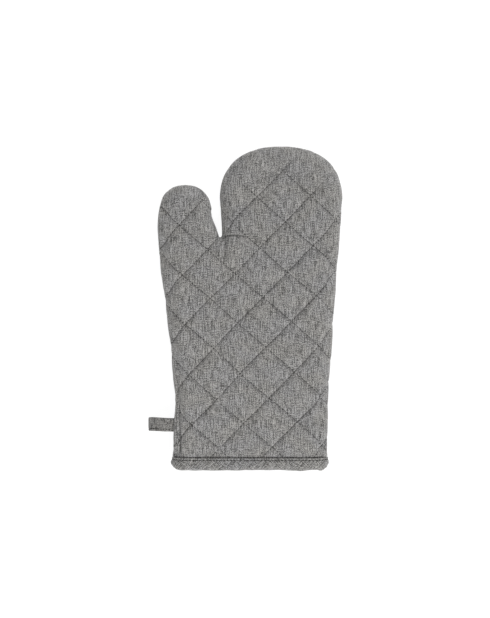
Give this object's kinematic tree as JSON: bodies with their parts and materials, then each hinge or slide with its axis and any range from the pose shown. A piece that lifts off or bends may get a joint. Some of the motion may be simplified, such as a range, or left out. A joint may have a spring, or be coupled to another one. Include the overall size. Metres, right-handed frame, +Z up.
{
  "type": "oven mitt",
  "caption": "Quilted grey oven mitt lying flat, with a bound cuff, a side hanging loop, and a thumb and finger part that fold at the palm.",
  "frame": {"origin": "centre of the bounding box in plan, on the surface that the mitt lies on", "axes": "+Y from the cuff to the finger tips, +X away from the thumb, +Z up from the back panel to the front panel"},
  "size_m": [0.1912, 0.318, 0.028],
  "materials": {
    "shell": "matt chambray, dark and light grey yarns",
    "wadding": "soft off-white cotton wadding",
    "lining": "matt pale grey plain cotton",
    "thread": "dark grey sewing thread",
    "tape": "matt chambray tape, folded and edge stitched"
  },
  "bodies": {
    "palm": {"palm_front_shell": "shell", "palm_front_wadding": "wadding", "palm_front_lining": "lining", "palm_front_quilting": "thread", "palm_back_shell": "shell", "palm_back_wadding": "wadding", "palm_back_lining": "lining", "palm_back_quilting": "thread", "palm_seam_allowance_left": "lining", "palm_seam_stitching_left": "thread", "palm_seam_allowance_crotch": "lining", "palm_seam_stitching_crotch": "thread", "palm_seam_allowance_right": "lining", "palm_seam_stitching_right": "thread", "cuff_binding": "shell", "cuff_binding_stitching": "thread", "loop_tape_ends": "tape"},
    "thumb": {"thumb_front_shell": "shell", "thumb_front_wadding": "wadding", "thumb_front_lining": "lining", "thumb_front_quilting": "thread", "thumb_back_shell": "shell", "thumb_back_wadding": "wadding", "thumb_back_lining": "lining", "thumb_back_quilting": "thread", "thumb_seam_allowance": "lining", "thumb_seam_stitching": "thread"},
    "fingers": {"fingers_front_shell": "shell", "fingers_front_wadding": "wadding", "fingers_front_lining": "lining", "fingers_front_quilting": "thread", "fingers_back_shell": "shell", "fingers_back_wadding": "wadding", "fingers_back_lining": "lining", "fingers_back_quilting": "thread", "fingers_seam_allowance": "lining", "fingers_seam_stitching": "thread"},
    "loop": {"hanging_loop": "tape", "hanging_loop_stitching": "thread"}
  },
  "joints": [
    {"name": "thumb_fold", "type": "hinge", "parent": "palm", "child": "thumb", "pos_m": [-0.058, 0.0701, 0.014], "axis": [0.9397, 0.342, 0], "range_deg": [-45, 45]},
    {"name": "finger_fold", "type": "hinge", "parent": "palm", "child": "fingers", "pos_m": [0.035, 0.082, 0.014], "axis": [1, 0, 0], "range_deg": [-45, 45]},
    {"name": "loop_swing", "type": "hinge", "parent": "palm", "child": "loop", "pos_m": [-0.07173, -0.1146, 0.014], "axis": [0, 1, 0], "range_deg": [-60, 110]}
  ]
}
